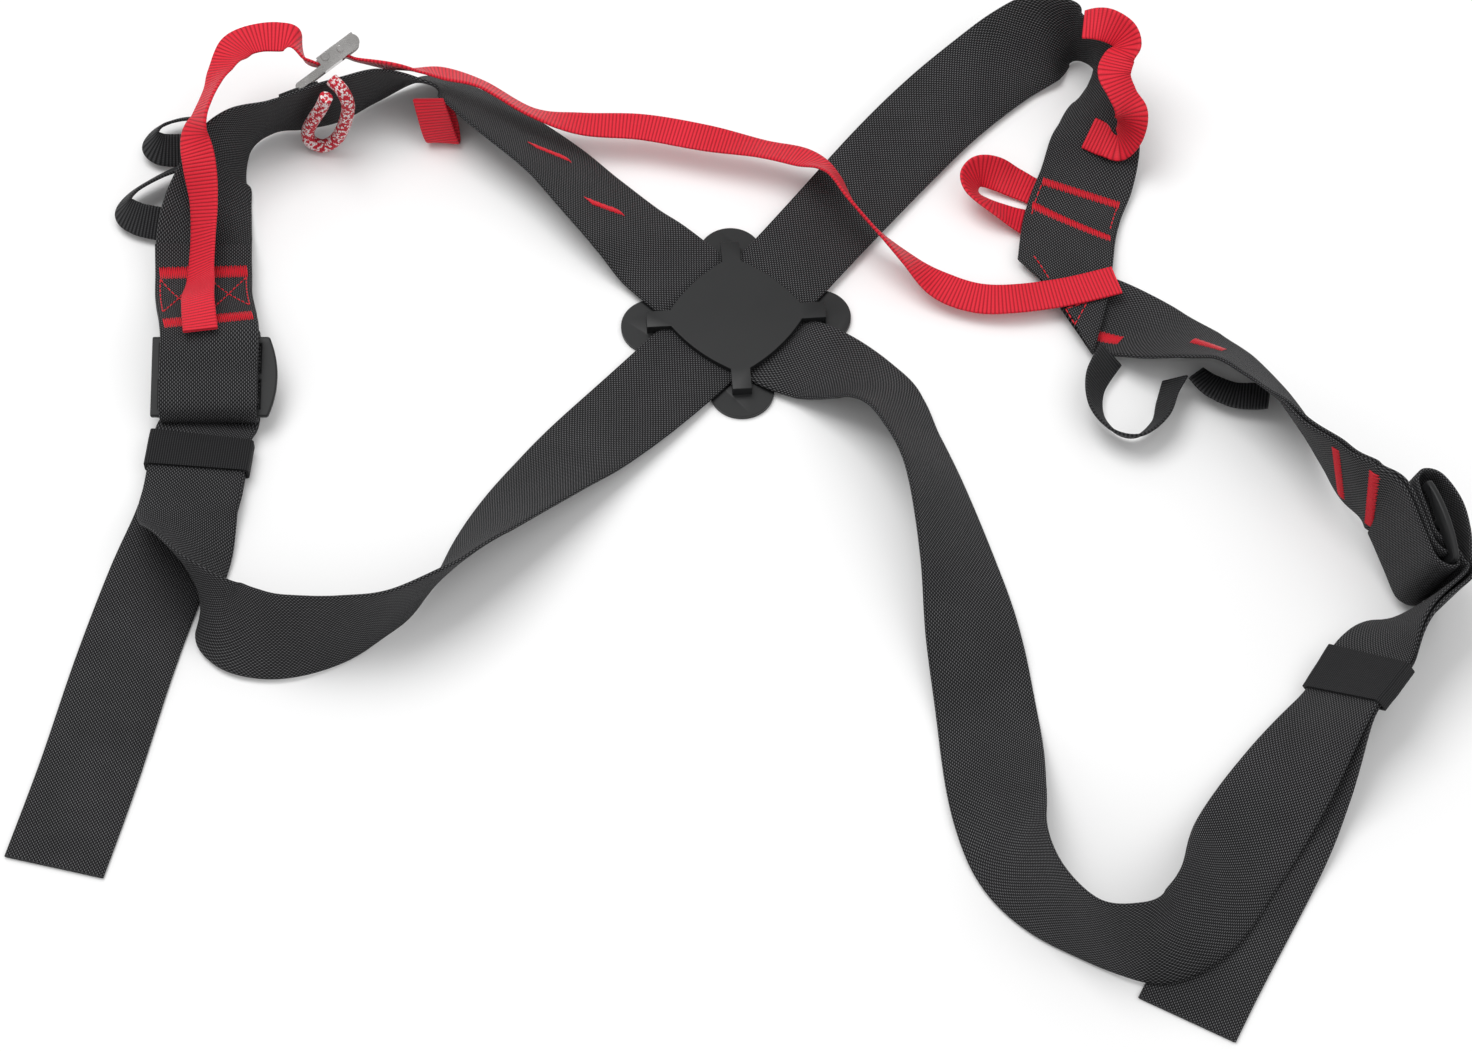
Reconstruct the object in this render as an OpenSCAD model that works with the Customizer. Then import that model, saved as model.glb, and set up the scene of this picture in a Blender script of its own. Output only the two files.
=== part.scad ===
/*
 Walking safety harness, laid out flat.

 Two straps cross under a four-lobed back plate. Each strap is sewn round one bar of a plastic
 tri-glide at its shoulder end and threads through the other tri-glide at its underarm end.
 A red chest strap runs from a steel cam buckle to the folded corner of the right shoulder.

 Units are millimetres and +Z is up. The origin is the centre of the back plate's flat underside,
 which lies in the plane that the harness rests on.

 Each strap follows a route of stations [x, y, z, across, tilt]. across is the compass angle of the
 line from the strap's right edge to its left edge, and tilt is how far that line rises.
*/

/* [Webbing] */
// width of the black webbing
strap_w = 45; // [43:1:46]
// thickness of the black webbing
strap_t = 1.8; // [1.4:0.1:1.8]
// width of the red and the black tape
tape_w = 16; // [14:1:17]
// thickness of the tape
tape_t = 1.4; // [1:0.1:1.4]
// diameter of the pull cord
cord_d = 6.5; // [5:0.5:6.5]

/* [Back plate] */
// distance from the plate's centre to the tip of a lobe
plate_r = 54; // [52:1:55]
// radius of a lobe
lobe_r = 15; // [14:1:16]
// thickness of the lobes and of the outer bars
plate_t = 2.4; // [2:0.1:2.4]

/* [Tri-glides] */
// width of a tri-glide along its bars
glide_w = 54; // [53:1:56]
// distance between the two outer bars
glide_len = 34; // [34:1:36]
// thickness of a tri-glide
glide_t = 3; // [2.6:0.1:3]

/* [Node] */
// piece to draw

/* [Hidden] */

black = [0.14, 0.14, 0.15];
red = [0.82, 0.12, 0.17];
steel = [0.62, 0.61, 0.60];

layer = strap_t + 0.8;
step = 6;
glide_bar = 4;

// Steel buckle: the near side's outer end, how its length is turned, and how its bars are turned.
buckle_at = [-210, 107, 45];
buckle_x = unit([0.797, 0.538, 0.275]);
buckle_z = unit(cross(buckle_x, [-0.103, 0.570, -0.815]));
buckle_y = cross(buckle_z, buckle_x);
buckle_len = 38;
buckle_w = 20;
flange_t = 1.2;
pin_x = 20;
pin_z = 1.4;
pin_r = 1.25;
bar_x = 28;
bar_r = 0.9;
// A station in the buckle: x along it, z off its middle plane.
function buckle_route(x, z) =
    concat(buckle_at + buckle_x * x + buckle_y * buckle_w / 2 + buckle_z * z, [100, -54.6]);

// A tri-glide's place: middle of its far bar, direction towards its near bar, direction away from the
// sewn patch. Its bars lie along the cross product of the two.
left_glide = [[-242, -26, 23], [0, -0.94, -0.342], [0, 0.342, -0.94]];
right_glide = [[299, -124, 33.5], [0.268, -0.944, -0.194], [0.931, 0.304, -0.192]];

// A point of a tri-glide's own plane: s along it from the far bar, m away from the patch.
function glide_point(glide, s, m) = glide[0] + glide[1] * s + glide[2] * m;
function left_at(s, m, across = 0) = concat(glide_point(left_glide, s, m), [across, 0]);
function right_at(s, m) = concat(glide_point(right_glide, s, m), [152, -74]);

// Strap from the left tri-glide over the left shoulder, under the plate, to the right tri-glide.
a_patch_end = 14;
a_middle = 37;
a_underarm_end = 57;
a_loop_end = 80;
strap_a = [
    [-251, 35, 14.8, 3, -9],
    [-250, 21, 12.8, 0, -4],
    [-248, 3, 18, 0, 0],
    left_at(-4, -8.9),
    left_at(18, -8),
    left_at(31, -7.2),
    left_at(35.8, -4.2),
    left_at(37.4, -0.6),
    left_at(36.8, 2.3),
    left_at(34, 3.1),
    left_at(30.9, 2.4),
    left_at(30.5, -0.3),
    left_at(28.2, -3.1),
    left_at(23, -5.2),
    left_at(12, -5.4),
    left_at(-4, -6.2),
    [-248, 2, 15, 0, 0],
    [-250, 20, 10.4, 0, -4],
    [-251, 38, 12.6, 3, -10],
    [-250, 52, 15, 10, -25],
    [-247, 68, 18.5, 20, -42],
    [-244, 81, 21.6, 32, -52],
    [-235, 95.5, 22.9, 55, -62],
    [-222, 104.5, 23, 82, -68],
    [-208, 109, 23, 102, -76],
    [-190, 115, 23, 112, -78],
    [-172, 124, 22, 108, -70],
    [-154, 128, 20.8, 95, -53],
    [-137, 126, 16.5, 80, -42],
    [-112, 107.5, 14.8, 67, -34],
    [-87, 86.5, 13, 60, -30],
    [-69, 67, 11.2, 55, -24],
    [-51, 48.5, 7.8, 51, -15],
    [-38, 36, 4.4, 47, -2],
    [-23, 21.5, 3.8, 45, 0],
    [-16.5, 15.5, 1.8, 45, 0],
    [-8, 7.5, 1.6, 45, 0],
    [0, 0, 1.6, 46, 0],
    [10, -8, 1.6, 47, 0],
    [17.5, -14, 1.8, 48, 0],
    [24.5, -19.5, 3.8, 49, 0],
    [42, -28, 5, 50, -4],
    [59, -40, 10, 50, -24],
    [70, -52, 15, 45, -38],
    [79, -69, 18, 38, -47],
    [90, -97, 19, 27, -48],
    [100, -140, 14, 15, -34],
    [106, -178, 7.6, 8, -12],
    [111, -217, 2.6, 5, 0],
    [114, -262, 13, 10, 28],
    [119, -289, 18, 22, 50],
    [132, -312, 22, 45, 70],
    [150, -327, 23, 65, 81],
    [167, -332, 23.6, 100, 72],
    [184, -329, 21.8, 115, 56],
    [200, -314, 19.4, 135, 42],
    [217, -281, 9, 148, 14],
    [238, -249, 11, 146, -12],
    [260, -219, 19.8, 143, -38],
    [271, -204, 22.2, 143, -38],
    [282, -189, 24.6, 143, -38],
    [296, -175, 28, 148, -62],
    right_at(40, 5.4),
    right_at(35, 5.4),
    right_at(29, 4.0),
    right_at(24.6, 0),
    right_at(19.5, -2.8),
    right_at(10, -3),
    right_at(0, -3.1),
    right_at(-6, -2),
    right_at(-9, 3),
    right_at(-5, 10),
    right_at(8, 14.5),
    right_at(22, 13.5),
    right_at(35, 9.6),
    right_at(42.4, 8.2),
    [298.4, -176, 26.6, 148, -62],
    [283.4, -189.7, 22.6, 143, -38],
    [272.4, -204.7, 20.2, 143, -38],
    [261.4, -219.7, 17.8, 143, -38],
    [246, -250, 7.5, 149, -12],
    [237, -270, 3.6, 150, -5],
    [226, -291, 1.5, 151, 0],
    [203, -333, 1.2, 152, 0],
    [190, -358, 1.2, 150, 0]];

// Strap from the folded corner over the right shoulder, under the plate, to the left tri-glide.
b_middle = 19;
b_underarm_end = 35;
b_loop_end = 53;
strap_b = [
    [144, -18, 7, 166, 0],
    [151, 8, 6.6, 167, 0],
    [155, 28, 5.8, 168, 0],
    [158, 49, 4.4, 169, 0],
    [162, 65, 3.7, 172, 0],
    [168, 81, 4.5, 174, -2],
    [172, 97, 8.5, 172, -14],
    [173, 109, 15, 151, -34],
    [174, 125, 21.4, 122, -48],
    [174, 143, 23.2, 90, -70],
    [168, 153, 23.2, 37, -80],
    [160, 156, 23, -60, -80],
    [150, 156, 20, -72, -54],
    [139, 153, 14.5, -62, -34],
    [126, 146, 9.5, -50, -18],
    [101, 123, 7.5, -45, -12],
    [76, 94, 7, -45, -10],
    [43, 53, 4.6, -45, -2],
    [21, 25, 3.8, -43, 0],
    [0, 0, 3.8, -42, 0],
    [-21, -23, 3.8, -42, 0],
    [-44, -48, 4.6, -42, 4],
    [-67, -72, 6.5, -42, 12],
    [-84, -91, 10.5, -41, 24],
    [-99, -109, 14.5, -45, 35],
    [-114, -129, 18.5, -53, 48],
    [-129, -150, 21.5, -66, 63],
    [-148, -168, 23, -50, 80],
    [-172, -179, 23, 60, 79],
    [-194, -183, 22.5, 95, 68],
    [-211, -181.5, 21.4, 92, 58],
    [-226, -175, 21, 95, 51],
    [-237, -161.5, 22.9, 112, 50],
    [-243, -143.5, 20, 140, 40],
    [-247, -125, 13.5, 165, 20],
    [-248.4, -111, 9, 172, 6],
    [-247.4, -98, 7.6, 175, 0],
    [-246, -82, 7.6, 175, 0],
    [-244.6, -67.5, 7.6, 175, 0],
    left_at(35.5, 5.4, 180),
    left_at(29, 3.8, 180),
    left_at(24.6, 0, 180),
    left_at(19.5, -2.8, 180),
    left_at(10, -3, 180),
    left_at(-1, -3.2, 180),
    left_at(-4.4, -0.2, 180),
    left_at(-1.2, 3.5, 180),
    left_at(12, 5.6, 180),
    left_at(24, 7, 180),
    left_at(35, 7.8, 180),
    [-244.6, -66, 5, 175, 0],
    [-246, -82, 5, 175, 0],
    [-247.4, -98, 5, 175, 0],
    [-252, -114, 2.4, 173, 0],
    [-261, -142, 1.2, 171, 0],
    [-272, -187, 1.2, 170, 0],
    [-283, -240, 1.2, 170, 0],
    [-294, -286, 1.2, 170, 0]];

// Strap from the folded corner along the right chest to the right tri-glide, sewn round its near bar.
c_chest_end = 11;
strap_c = [
    [142, 20, 1.3, 50, 0],
    [160, 9, 1.6, 48, 0],
    [180, -1, 2.4, 46, -1],
    [198, -13, 8.8, 48, -17],
    [215, -22, 14, 50, -33],
    [230, -31, 17, 48, -46],
    [243, -46, 18.8, 45, -52],
    [254.5, -65, 22.6, 42, -60],
    [263.3, -85.3, 27.9, 42, -72],
    [274.4, -102.5, 31.3, 50, -84],
    [285, -116.9, 34.8, 142, -78],
    right_at(-3, -7.4),
    right_at(12, -5.6),
    right_at(23, -5.2),
    right_at(28.2, -3.1),
    right_at(30.5, -0.3),
    right_at(30.9, 2.4),
    right_at(34, 3.1),
    right_at(36.8, 2.3),
    right_at(37.4, -0.6),
    right_at(35.8, -4.2),
    right_at(31, -7.4),
    right_at(18, -8.3),
    right_at(-2, -10.1),
    [282.4, -117.7, 35.2, 142, -78],
    [272.3, -104.2, 31.7, 50, -84],
    [261.3, -87.1, 28.5, 42, -72],
    [255.8, -74.5, 25.3, 42, -66]];

// Red chest strap from its loose end through the buckle to its sewn end.
chest_tail_end = 19;
chest = [
    [-245, -30, 38, 182, 0],
    [-248, -10, 35, 180, -15],
    [-250, 12, 21, 180, -32],
    [-250, 34, 23, 180, -38],
    [-250, 49.5, 31, 180, -32],
    [-252, 63.5, 41, 180, -6],
    [-254.3, 75, 46, 165, -25],
    [-252.3, 83, 51, 130, -38],
    [-249.6, 91, 53, 122, -42],
    [-246.6, 99.3, 54, 118, -38],
    [-243.8, 108, 54, 110, -22],
    [-240, 118, 53.5, 97, -8],
    [-235, 126, 52, 94, 2],
    [-227, 130, 51.2, 98, 6],
    [-218, 131, 50.6, 92, 9],
    [-210.5, 129.5, 50, 90, -8],
    buckle_route(12, 6.3),
    buckle_route(17, -0.8),
    buckle_route(23, -1.8),
    buckle_route(28, -3.4),
    buckle_route(32, -8.8),
    [-165, 121.5, 40.5, 95, -62],
    [-154, 122.5, 36, 95, -50],
    [-140, 123.6, 32, 88, -33],
    [-122, 121, 27, 78, -43],
    [-98, 110, 19.5, 78, -41],
    [-74, 105, 17, 88, -12],
    [-45, 103, 17, 90, -3],
    [-15, 96.5, 17, 88, -2],
    [12, 90, 17, 80, -22],
    [32, 83, 19, 65, -20],
    [45, 72, 22, 60, -50],
    [54, 55, 23, 70, -60],
    [66, 40, 20, 75, -58],
    [80, 28, 14, 80, -35],
    [95, 16, 9.5, 88, 0],
    [112, 9, 8.4, 90, 6],
    [130, 8, 9, 90, 2],
    [155, 12, 8.9, 95, 0],
    [179, 19, 8.6, 100, 0]];

// Gear loops and red loops: each starts and ends against its strap.
gear_left_upper = [
    [-256, 112, 12, 100, -50],
    [-267, 111.5, 12, 100, -50],
    [-277, 107, 12, 140, -54],
    [-281, 100, 11.5, 190, -54],
    [-276, 95, 10, 250, -50],
    [-264, 95, 9, 275, -44]];
gear_left_lower = [
    [-262, 84, 12, 105, -44],
    [-275, 77, 12, 110, -50],
    [-287, 68, 11.5, 130, -54],
    [-291, 60, 10.5, 190, -54],
    [-284, 54, 9.5, 260, -46],
    [-268, 51, 8, 275, -36]];
gear_right_first = [
    [174, -24, 9.5, 0, -40],
    [166, -40, 10, -10, -55],
    [166, -56, 10, 10, -60],
    [174, -67, 9.5, 60, -60],
    [185, -69, 9.5, 100, -60],
    [195, -60, 10, 140, -60],
    [199, -48, 10, 165, -55],
    [203, -38, 10, 150, -45]];
gear_right_second = [
    [213, -34, 9, 60, -30],
    [220, -40, 7.5, 72, -16],
    [230, -44.5, 6.5, 86, -10],
    [239, -46, 7.5, 92, -8],
    [246, -47, 9.5, 88, -10]];
red_left = [
    [-147, 108.8, 31, -16, 0],
    [-145, 106, 22, -6, 0],
    [-143, 104, 11, 0, 0],
    [-141.5, 104, 4.5, -4, 0],
    [-141, 107, 2.8, -8, 0],
    [-141.5, 111, 8, -10, 0],
    [-142.5, 113, 14, -12, 0],
    [-144.5, 114, 20.5, -14, 0]];
red_right = [
    [152, 73, 1.3, 95, 0],
    [143, 76, 1.4, 95, 0],
    [134, 79.5, 3.6, 97, 16],
    [124, 82, 8.2, 105, 42],
    [116, 81.5, 10.5, 145, 55],
    [111.5, 76, 10.5, 180, 56],
    [113, 69, 9.8, 215, 52],
    [121, 63, 8.2, 255, 38],
    [131, 59.5, 4, 270, 16],
    [140, 57, 1.5, 275, 0],
    [149, 55, 1.3, 275, 0]];
red_shoulder = [
    [166, 139.3, 49.7, 70, 10],
    [172, 138.3, 51.7, 66, 25],
    [178, 136.3, 52.3, 52, 40],
    [184.6, 132, 51, 15, 46],
    [186, 125.5, 49.3, -10, 34],
    [182, 120, 48.2, -24, 12],
    [179.5, 111.5, 47, -12, -8],
    [183, 103.5, 43, 4, -26],
    [187.5, 97, 36, -14, -32],
    [188, 94.5, 25, -50, -24],
    [184, 94, 15.2, -70, -12],
    [177, 97.4, 14, -67, -14],
    [169.5, 102.4, 13.2, -65, -15]];

// Pull cord: a loop that hangs from the buckle's near side over the strap's edge, down to the floor.
cord = [[-191, 104, 52], [-186.5, 100, 50], [-184, 98.5, 42], [-185, 99, 32], [-188, 99.5, 21], [-192.5, 100, 11],
        [-199, 100.5, 5.5], [-205, 102, 7.5], [-205.5, 102, 15], [-202, 101, 25], [-197.5, 100, 35],
        [-194, 100, 44]];

// One coordinate of a smooth curve through four stations.
function smooth(a, b, c, d, t) =
    0.5 * (2 * b + (c - a) * t + (2 * a - 5 * b + 4 * c - d) * t * t + (3 * b - a - 3 * c + d) * t * t * t);
function pick(list, i) = list[max(0, min(len(list) - 1, i))];
// The station a distance q along a route, counted in stations.
function along(path, q) =
    let (i = max(0, min(len(path) - 2, floor(q))))
    smooth(pick(path, i - 1), path[i], path[i + 1], pick(path, i + 2), q - i);
function place(s) = [s[0], s[1], s[2]];
function unit(v) = v / norm(v);
function edge_line(s) = [cos(s[3]) * cos(s[4]), sin(s[3]) * cos(s[4]), sin(s[4])];
// Centre, sideways direction and face direction of a strap at q.
function section(path, q) =
    let (last = len(path) - 1,
         t = unit(place(along(path, min(last, q + 0.02))) - place(along(path, max(0, q - 0.02)))),
         w = edge_line(along(path, q)),
         side = unit(w - (w * t) * t))
    [place(along(path, q)), side, cross(t, side)];
function spot(f, v, h) = f[0] + f[1] * v + f[2] * h;

// A band that follows a route from q0 to q1, from v0 to v1 sideways and from lo to hi off its middle.
// skew0 and skew1 move the left edge of the two ends along the route.
module band(path, q0, q1, v0, v1, lo, hi, skew0 = 0, skew1 = 0) {
    n = max(1, ceil((q1 - q0) * step - 0.001));
    q = [for (i = [0 : n]) q0 + (q1 - q0) * i / n];
    skew = [for (i = [0 : n]) skew0 * (1 - i / n) + skew1 * i / n];
    points = [for (i = [0 : n])
        let (l = section(path, q[i] + skew[i]), r = section(path, q[i]))
        each [spot(r, v0, lo), spot(l, v1, lo), spot(l, v1, hi), spot(r, v0, hi)]];
    faces = concat(
        [[0, 1, 2], [0, 2, 3]],
        [for (i = [0 : n - 1], k = [0 : 3])
            let (a = 4 * i + k, b = 4 * i + (k + 1) % 4)
            each [[a, a + 4, b], [b, a + 4, b + 4]]],
        [[4 * n, 4 * n + 2, 4 * n + 1], [4 * n, 4 * n + 3, 4 * n + 2]]);
    polyhedron(points, faces);
}

module webbing(path, q0, q1, skew0 = 0, skew1 = 0)
    color(black) band(path, q0, q1, -strap_w / 2, strap_w / 2, -strap_t / 2, strap_t / 2, skew0, skew1);

module tape(path, q0, q1, colour)
    color(colour) band(path, q0, q1, -tape_w / 2, tape_w / 2, -tape_t / 2, tape_t / 2);

// Stitches stand on a face: side is 1 for the face that the strap's face direction leaves, else -1.
module stitches(path, q0, q1, v0, v1, side, thick = strap_t) {
    lo = thick / 2 + 0.05;
    hi = thick / 2 + 0.55;
    color(red) band(path, q0, q1, v0, v1, side > 0 ? lo : -hi, side > 0 ? hi : -lo);
}

module back_plate() {
    slot_outer = 28.5;
    bar_w = 4;
    neck_w = 9;
    panel_z = 5;
    panel_t = 2.8;
    panel_half = 27;
    panel_r = 80;
    post_x = 36.5;
    post_end = 42;
    color(black) rotate(4) {
        linear_extrude(plate_t) difference() {
            union() {
                for (a = [0 : 90 : 270]) rotate(a) translate([plate_r - lobe_r, 0]) circle(lobe_r, $fn = 64);
                rotate(45) square(2 * (slot_outer + bar_w), center = true);
            }
            rotate(45) square(2 * slot_outer, center = true);
        }
        for (a = [0 : 90 : 270]) rotate(a) {
            translate([panel_half - 4, -neck_w / 2, panel_z]) cube([post_end - panel_half + 4, neck_w, panel_t]);
            translate([post_x, -neck_w / 2, 0]) cube([post_end - post_x, neck_w, panel_z + panel_t]);
        }
        translate([0, 0, panel_z]) linear_extrude(panel_t) intersection_for (a = [45 : 90 : 315])
            rotate(a) translate([panel_half - panel_r, 0]) circle(panel_r, $fn = 180);
    }
}

// Its side that lies furthest along its bars bulges outwards.
module tri_glide(glide) {
    side = 4;
    bulge = 4;
    length = glide_len + glide_bar;
    bulge_r = (length * length / 4 + bulge * bulge) / (2 * bulge);
    along_it = unit(glide[1]);
    across = unit(cross(along_it, glide[2]));
    off = cross(across, along_it);
    multmatrix([for (r = [0 : 2]) [across[r], along_it[r], off[r], glide[0][r]]])
        color(black) translate([0, 0, -glide_t / 2]) linear_extrude(glide_t) {
            for (y = [0 : glide_len / 2 : glide_len])
                translate([-glide_w / 2, y - glide_bar / 2]) square([glide_w, glide_bar]);
            translate([-glide_w / 2, -glide_bar / 2]) square([side, length]);
            intersection() {
                translate([glide_w / 2 + bulge - bulge_r, glide_len / 2]) circle(bulge_r, $fn = 180);
                translate([glide_w / 2 - side, -glide_bar / 2]) square([side + bulge, length]);
            }
        }
}

// A flat elastic tube round two layers of webbing. below is how far the second layer is from the first.
module keeper(path, q0, q1, below) {
    gap = 0.5;
    wall = 1.2;
    half = strap_w / 2 + gap;
    lo = -strap_t / 2 - below - gap;
    hi = strap_t / 2 + gap;
    n = ceil((q1 - q0) * step);
    points = [for (i = [0 : n])
        let (f = section(path, q0 + (q1 - q0) * i / n))
        each [for (g = [wall, 0]) each [
            spot(f, -half - g, lo - g), spot(f, half + g, lo - g),
            spot(f, half + g, hi + g), spot(f, -half - g, hi + g)]]];
    faces = concat(
        [for (k = [0 : 3])
            let (a = k, b = (k + 1) % 4)
            each [[a, b, b + 4], [a, b + 4, a + 4]]],
        [for (i = [0 : n - 1], k = [0 : 3])
            let (a = 8 * i + k, b = 8 * i + (k + 1) % 4)
            each [[a, a + 8, b], [b, a + 8, b + 8], [a + 4, b + 4, a + 12], [b + 4, b + 12, a + 12]]],
        [for (k = [0 : 3])
            let (a = 8 * n + k, b = 8 * n + (k + 1) % 4)
            each [[a, b + 4, b], [a, a + 4, b + 4]]]);
    color(black) polyhedron(points, faces);
}

// Draws in the buckle's own axes: X along it, Y along its bars.
module in_buckle()
    multmatrix([for (r = [0 : 2]) [buckle_x[r], buckle_y[r], buckle_z[r], buckle_at[r]]]) children();

module bar(x, z, r, y0, y1)
    translate([x, y0, z]) rotate([-90, 0, 0]) cylinder(r = r, h = y1 - y0, $fn = 32);

module buckle_frame() {
    low = -4.2;
    high = 3.4;
    sheet_x = 16;
    sheet_end = 26;
    roll_r = 1.8;
    end_r = (high - low) / 2;
    color(steel) in_buckle() {
        for (y = [0, buckle_w - flange_t]) difference() {
            translate([0, y + flange_t, 0]) rotate([90, 0, 0]) linear_extrude(flange_t) {
                translate([roll_r, low + roll_r]) circle(roll_r, $fn = 48);
                translate([roll_r, low]) square([sheet_x, 2 * roll_r]);
                translate([sheet_x, low]) square([buckle_len - end_r - sheet_x, high - low]);
                translate([buckle_len - end_r, low + end_r]) circle(end_r, $fn = 64);
            }
            bar(pin_x, pin_z, pin_r, y - 1, y + 3);
            bar(bar_x, 0.1, bar_r, y - 1, y + 3);
        }
        bar(roll_r, low + roll_r, roll_r, 0, buckle_w);
        translate([sheet_x, 0, low]) cube([sheet_end - sheet_x, buckle_w, 1]);
    }
}

module headed_pin(x, z, r) {
    head = 0.8;
    bar(x, z, r, -head, buckle_w + head);
    for (y = [-head, buckle_w]) bar(x, z, r + 0.8, y, y + head);
}
module buckle_pin() color(steel) in_buckle() headed_pin(pin_x, pin_z, pin_r);
module buckle_stop_pin() color(steel) in_buckle() headed_pin(bar_x, 0.1, bar_r);

module cam_lever() {
    side_gap = 0.4;
    hub_r = 2.2;
    lever_len = 17;
    y0 = flange_t + side_gap;
    y1 = buckle_w - flange_t - side_gap;
    color(steel) in_buckle() difference() {
        union() {
            bar(pin_x, pin_z, hub_r, y0, y1);
            translate([pin_x, y0, pin_z + hub_r - 1.4]) cube([lever_len, y1 - y0, 1.4]);
        }
        bar(pin_x, pin_z, pin_r + 0.06, 0, buckle_w);
    }
}

// A round cord through its route's points.
module pull_cord() {
    sides = 8;
    per = 3;
    n = (len(cord) - 1) * per;
    centre = [for (i = [0 : n]) along(cord, i / per)];
    heading = [for (i = [0 : n]) unit(centre[min(n, i + 1)] - centre[max(0, i - 1)])];
    flat = [for (t = heading) unit(cross(t, [0.3, -0.5, 0.81]))];
    points = [for (i = [0 : n], k = [0 : sides - 1])
        let (a = 360 * k / sides)
        centre[i] + (flat[i] * cos(a) + cross(heading[i], flat[i]) * sin(a)) * cord_d / 2];
    faces = concat(
        [for (k = [1 : sides - 2]) [0, k, k + 1]],
        [for (i = [0 : n - 1], k = [0 : sides - 1])
            let (a = sides * i + k, b = sides * i + (k + 1) % sides)
            each [[a, a + sides, b], [b, a + sides, b + sides]]],
        [for (k = [1 : sides - 2]) [sides * n, sides * n + k + 1, sides * n + k]]);
    color(red) polyhedron(points, faces);
}

module left_patch_loop() webbing(strap_a, 0, a_patch_end);
module left_shoulder_strap() webbing(strap_a, a_patch_end, a_middle);
module right_underarm_strap() webbing(strap_a, a_middle, a_underarm_end);
module right_threaded_loop() webbing(strap_a, a_underarm_end, a_loop_end);
module right_tail() webbing(strap_a, a_loop_end, len(strap_a) - 1);
module right_shoulder_strap() webbing(strap_b, 0.1, b_middle, 2, 0);
module left_underarm_strap() webbing(strap_b, b_middle, b_underarm_end);
module left_threaded_loop() webbing(strap_b, b_underarm_end, b_loop_end);
module left_tail() webbing(strap_b, b_loop_end, len(strap_b) - 1);
module right_chest_section() webbing(strap_c, 1.9, c_chest_end, -1.8, 0);
module right_patch_loop() webbing(strap_c, c_chest_end, len(strap_c) - 1);
module left_tri_glide() tri_glide(left_glide);
module right_tri_glide() tri_glide(right_glide);
module left_keeper() keeper(strap_b, 36.75, 37.9, layer);
module right_keeper() keeper(strap_a, 58.35, 59.65, layer);
module chest_strap() tape(chest, chest_tail_end, len(chest) - 1, red);
module chest_strap_tail() tape(chest, 0, chest_tail_end, red);
module buckle_anchor()
    color(black) band(strap_a, 23.3, 24.5, -21, -5, strap_t / 2 + 0.3, strap_t / 2 + 0.3 + tape_t);
module left_gear_loop_upper() tape(gear_left_upper, 0, len(gear_left_upper) - 1, black);
module left_gear_loop_lower() tape(gear_left_lower, 0, len(gear_left_lower) - 1, black);
module right_gear_loop_first() tape(gear_right_first, 0, len(gear_right_first) - 1, black);
module right_gear_loop_second() tape(gear_right_second, 0, len(gear_right_second) - 1, black);
module left_red_loop() tape(red_left, 0, len(red_left) - 1, red);
module right_red_loop() tape(red_right, 0, len(red_right) - 1, red);
module right_shoulder_loop() tape(red_shoulder, 0, len(red_shoulder) - 1, red);

module left_patch_stitching() {
    for (q = [0.9, 2.4]) stitches(strap_a, q, q + 0.12, -20, 20, 1);
    for (v = [-20, 18.5]) stitches(strap_a, 1.05, 2.35, v, v + 1.5, 1);
}
module left_shoulder_stitching() {
    for (q = [29.9, 31.4]) stitches(strap_a, q, q + 0.25, -10, 6, 1);
}
module right_shoulder_stitching() {
    for (q = [3.8, 4.7]) stitches(strap_b, q, q + 0.12, -20, 20, 1);
}
module right_chest_stitching() {
    for (q = [1.9, 3.9]) stitches(strap_c, q, q + 0.25, -8, 6, 1);
}
module right_patch_stitching() {
    for (q = [24.2, 25.6]) stitches(strap_c, q, q + 0.2, -20, 20, 1);
}

back_plate();
left_patch_loop();
left_shoulder_strap();
right_underarm_strap();
right_threaded_loop();
right_tail();
right_shoulder_strap();
left_underarm_strap();
left_threaded_loop();
left_tail();
right_chest_section();
right_patch_loop();
left_tri_glide();
right_tri_glide();
left_keeper();
right_keeper();
chest_strap();
chest_strap_tail();
buckle_frame();
buckle_pin();
buckle_stop_pin();
cam_lever();
buckle_anchor();
pull_cord();
left_gear_loop_upper();
left_gear_loop_lower();
right_gear_loop_first();
right_gear_loop_second();
left_red_loop();
right_red_loop();
right_shoulder_loop();
left_patch_stitching();
left_shoulder_stitching();
right_shoulder_stitching();
right_chest_stitching();
right_patch_stitching();
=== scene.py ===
"""Looks of the walking safety harness: webbing, tape, thread and cord as meshes, and finer hard parts."""

import math

import bmesh
import bpy
import numpy as np
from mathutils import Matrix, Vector


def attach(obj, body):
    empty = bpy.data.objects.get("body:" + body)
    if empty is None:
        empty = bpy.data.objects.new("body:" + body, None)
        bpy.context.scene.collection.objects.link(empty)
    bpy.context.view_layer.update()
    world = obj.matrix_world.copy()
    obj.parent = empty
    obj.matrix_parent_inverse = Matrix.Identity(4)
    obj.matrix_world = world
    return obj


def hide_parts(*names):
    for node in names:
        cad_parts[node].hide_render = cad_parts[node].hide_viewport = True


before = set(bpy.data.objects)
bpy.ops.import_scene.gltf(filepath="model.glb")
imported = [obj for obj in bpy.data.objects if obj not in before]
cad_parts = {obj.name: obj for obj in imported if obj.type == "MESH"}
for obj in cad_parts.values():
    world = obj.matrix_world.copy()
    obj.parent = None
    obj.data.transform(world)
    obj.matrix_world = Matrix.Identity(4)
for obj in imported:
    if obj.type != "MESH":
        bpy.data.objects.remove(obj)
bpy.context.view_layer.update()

MM = 0.001

# Webbing and tape, in millimetres.
STRAP_W = 45
STRAP_T = 1.8
TAPE_W = 16
TAPE_T = 1.4
CORD_D = 6.5
LAYER = STRAP_T + 0.8
RINGS_PER_STATION = 12


def unit(v):
    return v / np.linalg.norm(v)


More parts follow.
